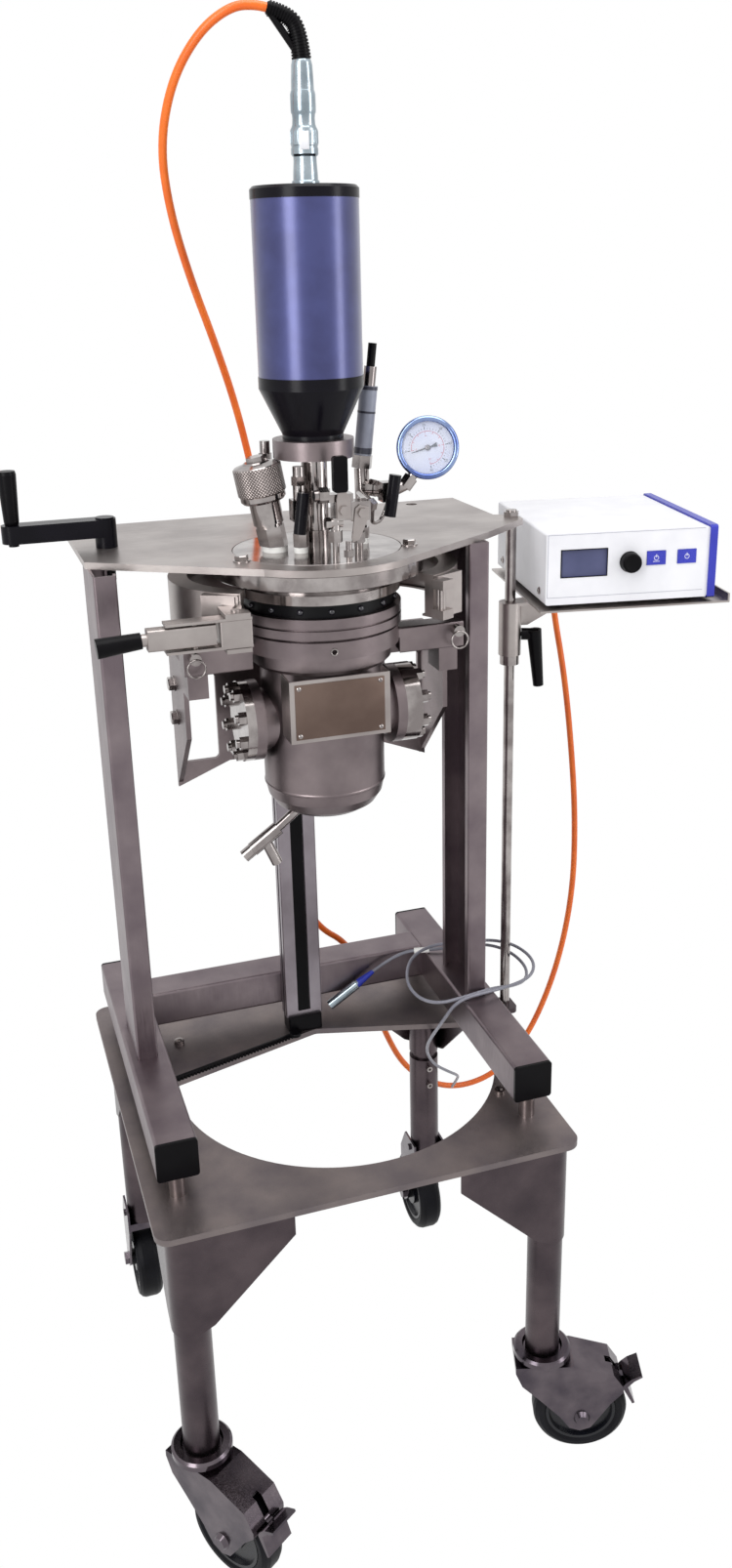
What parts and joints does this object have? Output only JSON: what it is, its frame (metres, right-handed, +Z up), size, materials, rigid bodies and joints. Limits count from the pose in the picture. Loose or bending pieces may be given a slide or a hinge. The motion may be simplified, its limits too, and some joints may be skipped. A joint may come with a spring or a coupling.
{
  "type": "high-pressure laboratory reactor",
  "caption": "Stirred high-pressure reactor on a four-wheeled steel trolley, with a crank-lowered vessel, swing clamps, stirrer motor and a control box on a side shelf.",
  "frame": {"origin": "middle of the rigid object in plan, on the floor under the wheels", "axes": "+Z up, +X to the side that carries the shelf and the control box, -Y to the front with the clamp lever and the nameplate"},
  "size_m": [0.9382, 0.7144, 1.7752],
  "materials": {
    "stainless": "bead blasted",
    "polished": "turned and polished",
    "top_sheet": "brushed",
    "black_metal": "black anodised",
    "violet_metal": "blue-violet anodised",
    "black_plastic": "moulded",
    "white_plastic": "painted sheet",
    "blue_plastic": "moulded",
    "rubber": "moulded",
    "orange_jacket": "cable jacket",
    "grey_jacket": "cable jacket",
    "white_seal": "machined",
    "profile": "extruded"
  },
  "bodies": {
    "frame": {"trolley_plate": "stainless", "trolley_legs": "stainless", "rear_caster_forks": "polished", "base_rails": "stainless", "plastic_trim": "black_plastic", "frame_fasteners": "polished", "uprights": "stainless", "lift_column": "profile", "top_plate": "top_sheet", "reactor_lid": "polished", "seals": "white_seal", "drive_lantern": "polished", "motor_body": "violet_metal", "motor_caps": "black_metal", "motor_connector": "polished", "lid_fittings": "polished", "pressure_sensor": "polished", "gauge_case": "polished", "support_rod": "polished", "clamp_pivot": "polished", "motor_cable": "orange_jacket", "sensor_cable": "grey_jacket", "sensor_plug": "polished"},
    "carriage": {"vessel_body": "stainless", "side_port_covers": "polished", "carriage_bolts": "polished", "lift_carriage": "stainless", "nameplate": "polished", "drain_valve": "polished"},
    "shelf": {"shelf_tray": "stainless", "control_box": "white_plastic"},
    "ball_valve_lever": {"ball_valve_lever": "black_plastic"},
    "brake_pedal_left": {"brake_pedal_left": "polished"},
    "brake_pedal_right": {"brake_pedal_right": "polished"},
    "button_left": {"button_left": "blue_plastic"},
    "button_right": {"button_right": "blue_plastic"},
    "caster_head_left": {"caster_head_left": "polished"},
    "caster_head_right": {"caster_head_right": "polished"},
    "clamp_half_left": {"clamp_half_left": "stainless"},
    "clamp_half_right": {"clamp_half_right": "stainless"},
    "clamp_latch": {"clamp_latch": "stainless"},
    "clamp_lever": {"clamp_lever": "stainless"},
    "crank_arm": {"crank_arm": "black_metal"},
    "crank_grip": {"crank_grip": "black_plastic"},
    "drain_handle": {"drain_handle": "black_plastic"},
    "front_wheel_left": {"front_wheel_left": "rubber"},
    "front_wheel_right": {"front_wheel_right": "rubber"},
    "gauge_pointer": {"gauge_pointer": "black_plastic"},
    "gauge_valve_handle": {"gauge_valve_handle": "black_metal"},
    "knob": {"knob": "black_plastic"},
    "needle_valve_handle": {"needle_valve_handle": "black_metal"},
    "port_cap": {"port_cap": "polished"},
    "pull_pin_left": {"pull_pin_left": "polished"},
    "pull_pin_right": {"pull_pin_right": "polished"},
    "rear_ball_lever": {"rear_ball_lever": "stainless"},
    "rear_wheel_left": {"rear_wheel_left": "rubber"},
    "rear_wheel_right": {"rear_wheel_right": "rubber"},
    "shelf_clamp_lever": {"shelf_clamp_lever": "black_plastic"},
    "shelf_stop_ring": {"shelf_stop_ring": "polished"},
    "stirrer": {"stirrer": "polished"}
  },
  "joints": [
    {"name": "vessel_lift", "type": "slide", "parent": "frame", "child": "carriage", "axis": [0, 0, 1], "range_m": [-0.29, 0]},
    {"name": "swivel_left", "type": "hinge", "parent": "frame", "child": "caster_head_left", "pos_m": [-0.37247, -0.20644, 0.15], "axis": [0, 0, 1], "continuous": true},
    {"name": "roll_front_left", "type": "hinge", "parent": "caster_head_left", "child": "front_wheel_left", "pos_m": [-0.34339, -0.24955, 0.0625], "axis": [0.829, 0.5592, 0], "continuous": true},
    {"name": "brake_left", "type": "hinge", "parent": "caster_head_left", "child": "brake_pedal_left", "pos_m": [-0.31599, -0.29017, 0.109], "axis": [0.829, 0.5592, 0], "range_deg": [0, 8]},
    {"name": "roll_rear_left", "type": "hinge", "parent": "frame", "child": "rear_wheel_left", "pos_m": [-0.37247, 0.26456, 0.0625], "axis": [1, 0, 0], "continuous": true},
    {"name": "swivel_right", "type": "hinge", "parent": "frame", "child": "caster_head_right", "pos_m": [0.08433, -0.20644, 0.15], "axis": [0, 0, 1], "continuous": true},
    {"name": "roll_front_right", "type": "hinge", "parent": "caster_head_right", "child": "front_wheel_right", "pos_m": [0.13379, -0.22251, 0.0625], "axis": [0.309, 0.9511, 0], "continuous": true},
    {"name": "brake_right", "type": "hinge", "parent": "caster_head_right", "child": "brake_pedal_right", "pos_m": [0.18039, -0.23765, 0.109], "axis": [0.309, 0.9511, 0], "range_deg": [0, 8]},
    {"name": "roll_rear_right", "type": "hinge", "parent": "frame", "child": "rear_wheel_right", "pos_m": [0.08433, 0.26456, 0.0625], "axis": [1, 0, 0], "continuous": true},
    {"name": "crank_turn", "type": "hinge", "parent": "frame", "child": "crank_arm", "pos_m": [-0.34907, 0.13756, 1.22], "axis": [0, 0, 1], "range_deg": [-5220, 0]},
    {"name": "grip_spin", "type": "hinge", "parent": "crank_arm", "child": "crank_grip", "pos_m": [-0.45607, 0.13756, 1.26], "axis": [0, 0, 1], "continuous": true},
    {"name": "clamp_left_swing", "type": "hinge", "parent": "frame", "child": "clamp_half_left", "pos_m": [-0.11807, 0.16956, 1.15], "axis": [0, 0, 1], "range_deg": [0, 27]},
    {"name": "clamp_right_swing", "type": "hinge", "parent": "frame", "child": "clamp_half_right", "pos_m": [-0.11807, 0.16956, 1.15], "axis": [0, 0, -1], "range_deg": [0, 27]},
    {"name": "latch_swing", "type": "hinge", "parent": "clamp_half_left", "child": "clamp_latch", "pos_m": [-0.24407, -0.07844, 1.142], "axis": [0, 0, 1], "range_deg": [-8, 0]},
    {"name": "lever_swing", "type": "hinge", "parent": "clamp_latch", "child": "clamp_lever", "pos_m": [-0.29007, -0.07844, 1.142], "axis": [0, 0, 1], "range_deg": [-25, 90]},
    {"name": "pull_pin_left_slide", "type": "slide", "parent": "carriage", "child": "pull_pin_left", "axis": [0, -1, 0], "range_m": [0, 0.008], "stiffness_N_per_m": 600},
    {"name": "pull_pin_right_slide", "type": "slide", "parent": "carriage", "child": "pull_pin_right", "axis": [0, -1, 0], "range_m": [0, 0.008], "stiffness_N_per_m": 600},
    {"name": "port_cap_turn", "type": "hinge", "parent": "frame", "child": "port_cap", "pos_m": [-0.18269, 0.03326, 1.2813], "axis": [-0.174, 0, 0.9848], "range_deg": [0, 720]},
    {"name": "needle_valve_turn", "type": "hinge", "parent": "frame", "child": "needle_valve_handle", "pos_m": [-0.14657, -0.00844, 1.251], "axis": [0, 1, 0], "range_deg": [0, 1080]},
    {"name": "gauge_valve_turn", "type": "hinge", "parent": "frame", "child": "gauge_valve_handle", "pos_m": [-0.02907, 0.01556, 1.259], "axis": [0, 1, 0], "range_deg": [0, 720]},
    {"name": "ball_valve_turn", "type": "hinge", "parent": "frame", "child": "ball_valve_lever", "pos_m": [-0.10937, -0.04874, 1.2587], "axis": [0, 1, 0], "range_deg": [0, 90]},
    {"name": "rear_ball_valve_turn", "type": "hinge", "parent": "frame", "child": "rear_ball_lever", "pos_m": [-0.08277, -0.03274, 1.2517], "axis": [0, -1, 0], "range_deg": [0, 90]},
    {"name": "gauge_needle_turn", "type": "hinge", "parent": "frame", "child": "gauge_pointer", "pos_m": [0.02193, 0.03356, 1.309], "axis": [0.341, 0.9226, -0.1805], "range_deg": [0, 270]},
    {"name": "stirrer_spin", "type": "hinge", "parent": "frame", "child": "stirrer", "pos_m": [-0.11807, 0.03356, 1], "axis": [0, 0, 1], "continuous": true},
    {"name": "drain_turn", "type": "hinge", "parent": "carriage", "child": "drain_handle", "pos_m": [-0.21832, 0.02156, 0.83383], "axis": [-0.8157, 0, -0.5784], "range_deg": [0, 720]},
    {"name": "stop_ring_slide", "type": "slide", "parent": "frame", "child": "shelf_stop_ring", "axis": [0, 0, 1], "range_m": [-0.4, 0]},
    {"name": "shelf_swing", "type": "hinge", "parent": "frame", "child": "shelf", "pos_m": [0.16693, 0.11356, 1.05], "axis": [0, 0, 1], "range_deg": [-50, 0]},
    {"name": "shelf_clamp_turn", "type": "hinge", "parent": "shelf", "child": "shelf_clamp_lever", "pos_m": [0.16693, 0.11356, 1.046], "axis": [0.9061, -0.4231, 0], "range_deg": [0, 60]},
    {"name": "knob_turn", "type": "hinge", "parent": "shelf", "child": "knob", "pos_m": [0.29346, 0.02659, 1.15], "axis": [-0.1633, -0.9866, 0], "continuous": true},
    {"name": "button_left_press", "type": "slide", "parent": "shelf", "child": "button_left", "axis": [0.1633, 0.9866, 0], "range_m": [0, 0.0025], "stiffness_N_per_m": 400},
    {"name": "button_right_press", "type": "slide", "parent": "shelf", "child": "button_right", "axis": [0.1633, 0.9866, 0], "range_m": [0, 0.0025], "stiffness_N_per_m": 400}
  ],
  "couplings": [
    {"joint": "crank_turn", "follows": "vessel_lift", "rad_per_m": 314.16}
  ]
}
